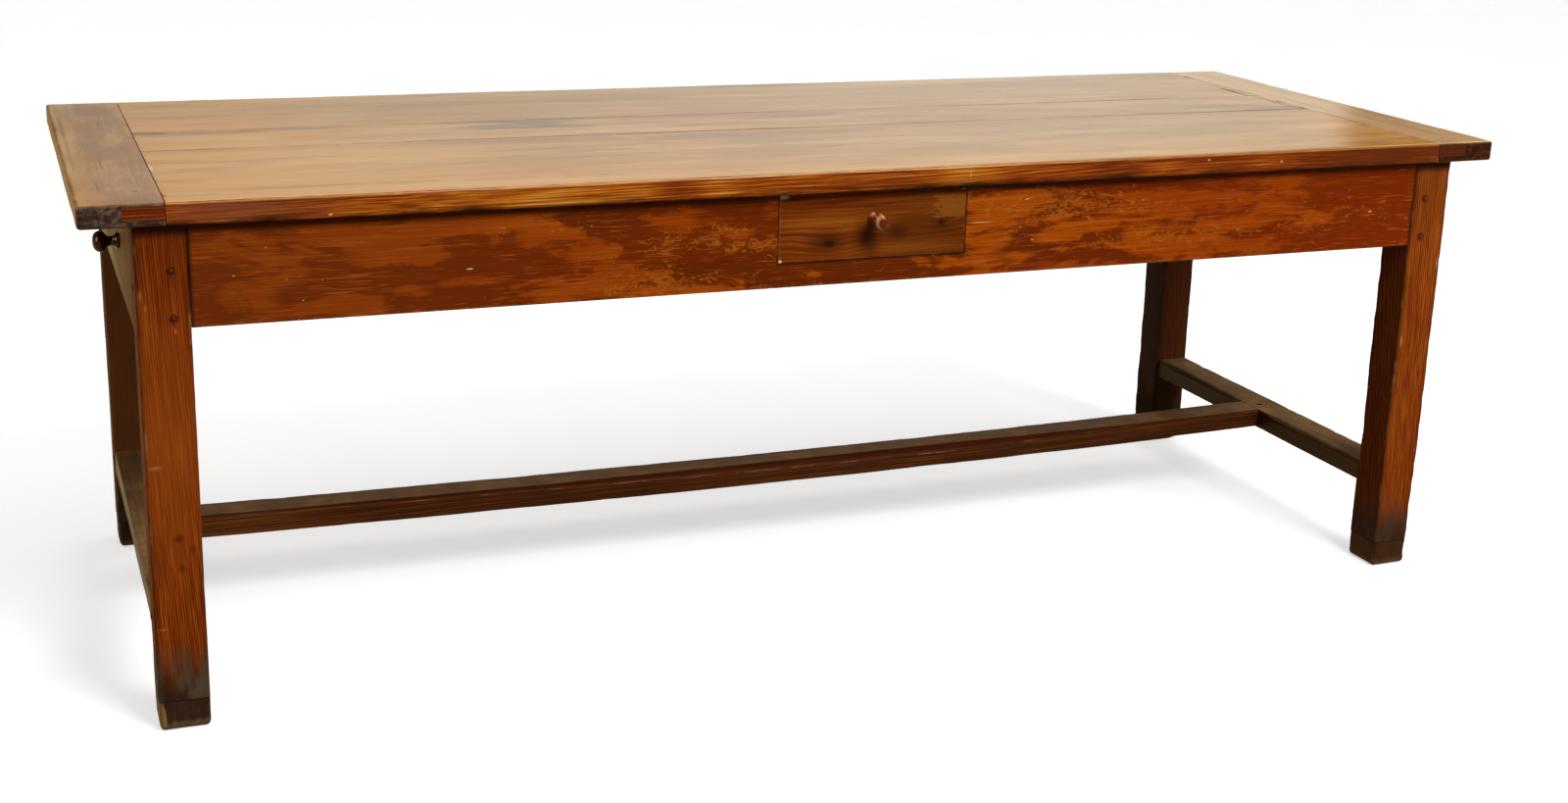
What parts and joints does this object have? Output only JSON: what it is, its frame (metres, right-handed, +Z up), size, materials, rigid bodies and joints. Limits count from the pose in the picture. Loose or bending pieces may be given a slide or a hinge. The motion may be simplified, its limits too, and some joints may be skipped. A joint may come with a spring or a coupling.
{
  "type": "bakery table",
  "caption": "Long wooden work table with breadboard ends, an H stretcher, a small drawer in the front rail and a wide drawer in one end.",
  "frame": {"origin": "on the floor, below the middle of the space that the table takes up, knobs included", "axes": "+X runs along the table to the end without a drawer, -Y is the front with the small drawer, +Z is up"},
  "size_m": [2.298, 0.8758, 0.77],
  "materials": {
    "top_planks": "worn pale golden wood, waxed",
    "cleats": "pale brown wood with blackened end grain, waxed",
    "legs": "red-brown wood with fine vertical grain, waxed",
    "feet": "blackened scuffed wood, dull",
    "rails": "orange-brown stained wood with worn patches, satin",
    "stretchers": "dark brown wood, dusty and dull on top",
    "pegs": "dark end-grain wood",
    "inner_bars": "bare sawn wood",
    "drawer_fronts": "knotty brown wood, satin",
    "drawer_boxes": "bare planed wood",
    "red_knob": "turned wood, glossy red-brown varnish",
    "dark_knobs": "turned wood, glossy near-black varnish"
  },
  "bodies": {
    "table": {"plank_front": "top_planks", "plank_middle": "top_planks", "plank_rear": "top_planks", "cleat_left": "cleats", "cleat_right": "cleats", "leg_front_left": "legs", "leg_rear_left": "legs", "leg_front_right": "legs", "leg_rear_right": "legs", "foot_front_left": "feet", "foot_rear_left": "feet", "foot_front_right": "feet", "foot_rear_right": "feet", "apron_front": "rails", "apron_rear": "rails", "apron_left": "rails", "apron_right": "rails", "cross_stretcher_left": "stretchers", "cross_stretcher_right": "stretchers", "long_stretcher": "stretchers", "peg_front_left_lower": "pegs", "peg_front_left_upper": "pegs", "peg_front_left_end_rail": "pegs", "peg_front_left_stretcher": "pegs", "peg_rear_left_lower": "pegs", "peg_rear_left_upper": "pegs", "peg_rear_left_end_rail": "pegs", "peg_rear_left_stretcher": "pegs", "peg_front_right_lower": "pegs", "peg_front_right_upper": "pegs", "peg_front_right_end_rail": "pegs", "peg_front_right_stretcher": "pegs", "peg_rear_right_lower": "pegs", "peg_rear_right_upper": "pegs", "peg_rear_right_end_rail": "pegs", "peg_rear_right_stretcher": "pegs", "peg_junction_left": "pegs", "peg_junction_right": "pegs", "glue_block_front_left": "inner_bars", "glue_block_rear_left": "inner_bars", "glue_block_front_right": "inner_bars", "glue_block_rear_right": "inner_bars", "front_runner_left": "inner_bars", "front_runner_right": "inner_bars", "end_runner_front": "inner_bars", "end_runner_rear": "inner_bars"},
    "front_drawer": {"front_drawer_front": "drawer_fronts", "front_drawer_side_left": "drawer_boxes", "front_drawer_side_right": "drawer_boxes", "front_drawer_back": "drawer_boxes", "front_drawer_bottom": "drawer_boxes", "front_knob": "red_knob"},
    "end_drawer": {"end_drawer_front": "drawer_fronts", "end_drawer_side_front": "drawer_boxes", "end_drawer_side_rear": "drawer_boxes", "end_drawer_back": "drawer_boxes", "end_drawer_bottom": "drawer_boxes", "end_knob_front": "dark_knobs", "end_knob_rear": "dark_knobs"}
  },
  "joints": [
    {"name": "front_drawer_slide", "type": "slide", "parent": "table", "child": "front_drawer", "axis": [0, -1, 0], "range_m": [0, 0.34]},
    {"name": "end_drawer_slide", "type": "slide", "parent": "table", "child": "end_drawer", "axis": [-1, 0, 0], "range_m": [0, 0.39]}
  ]
}
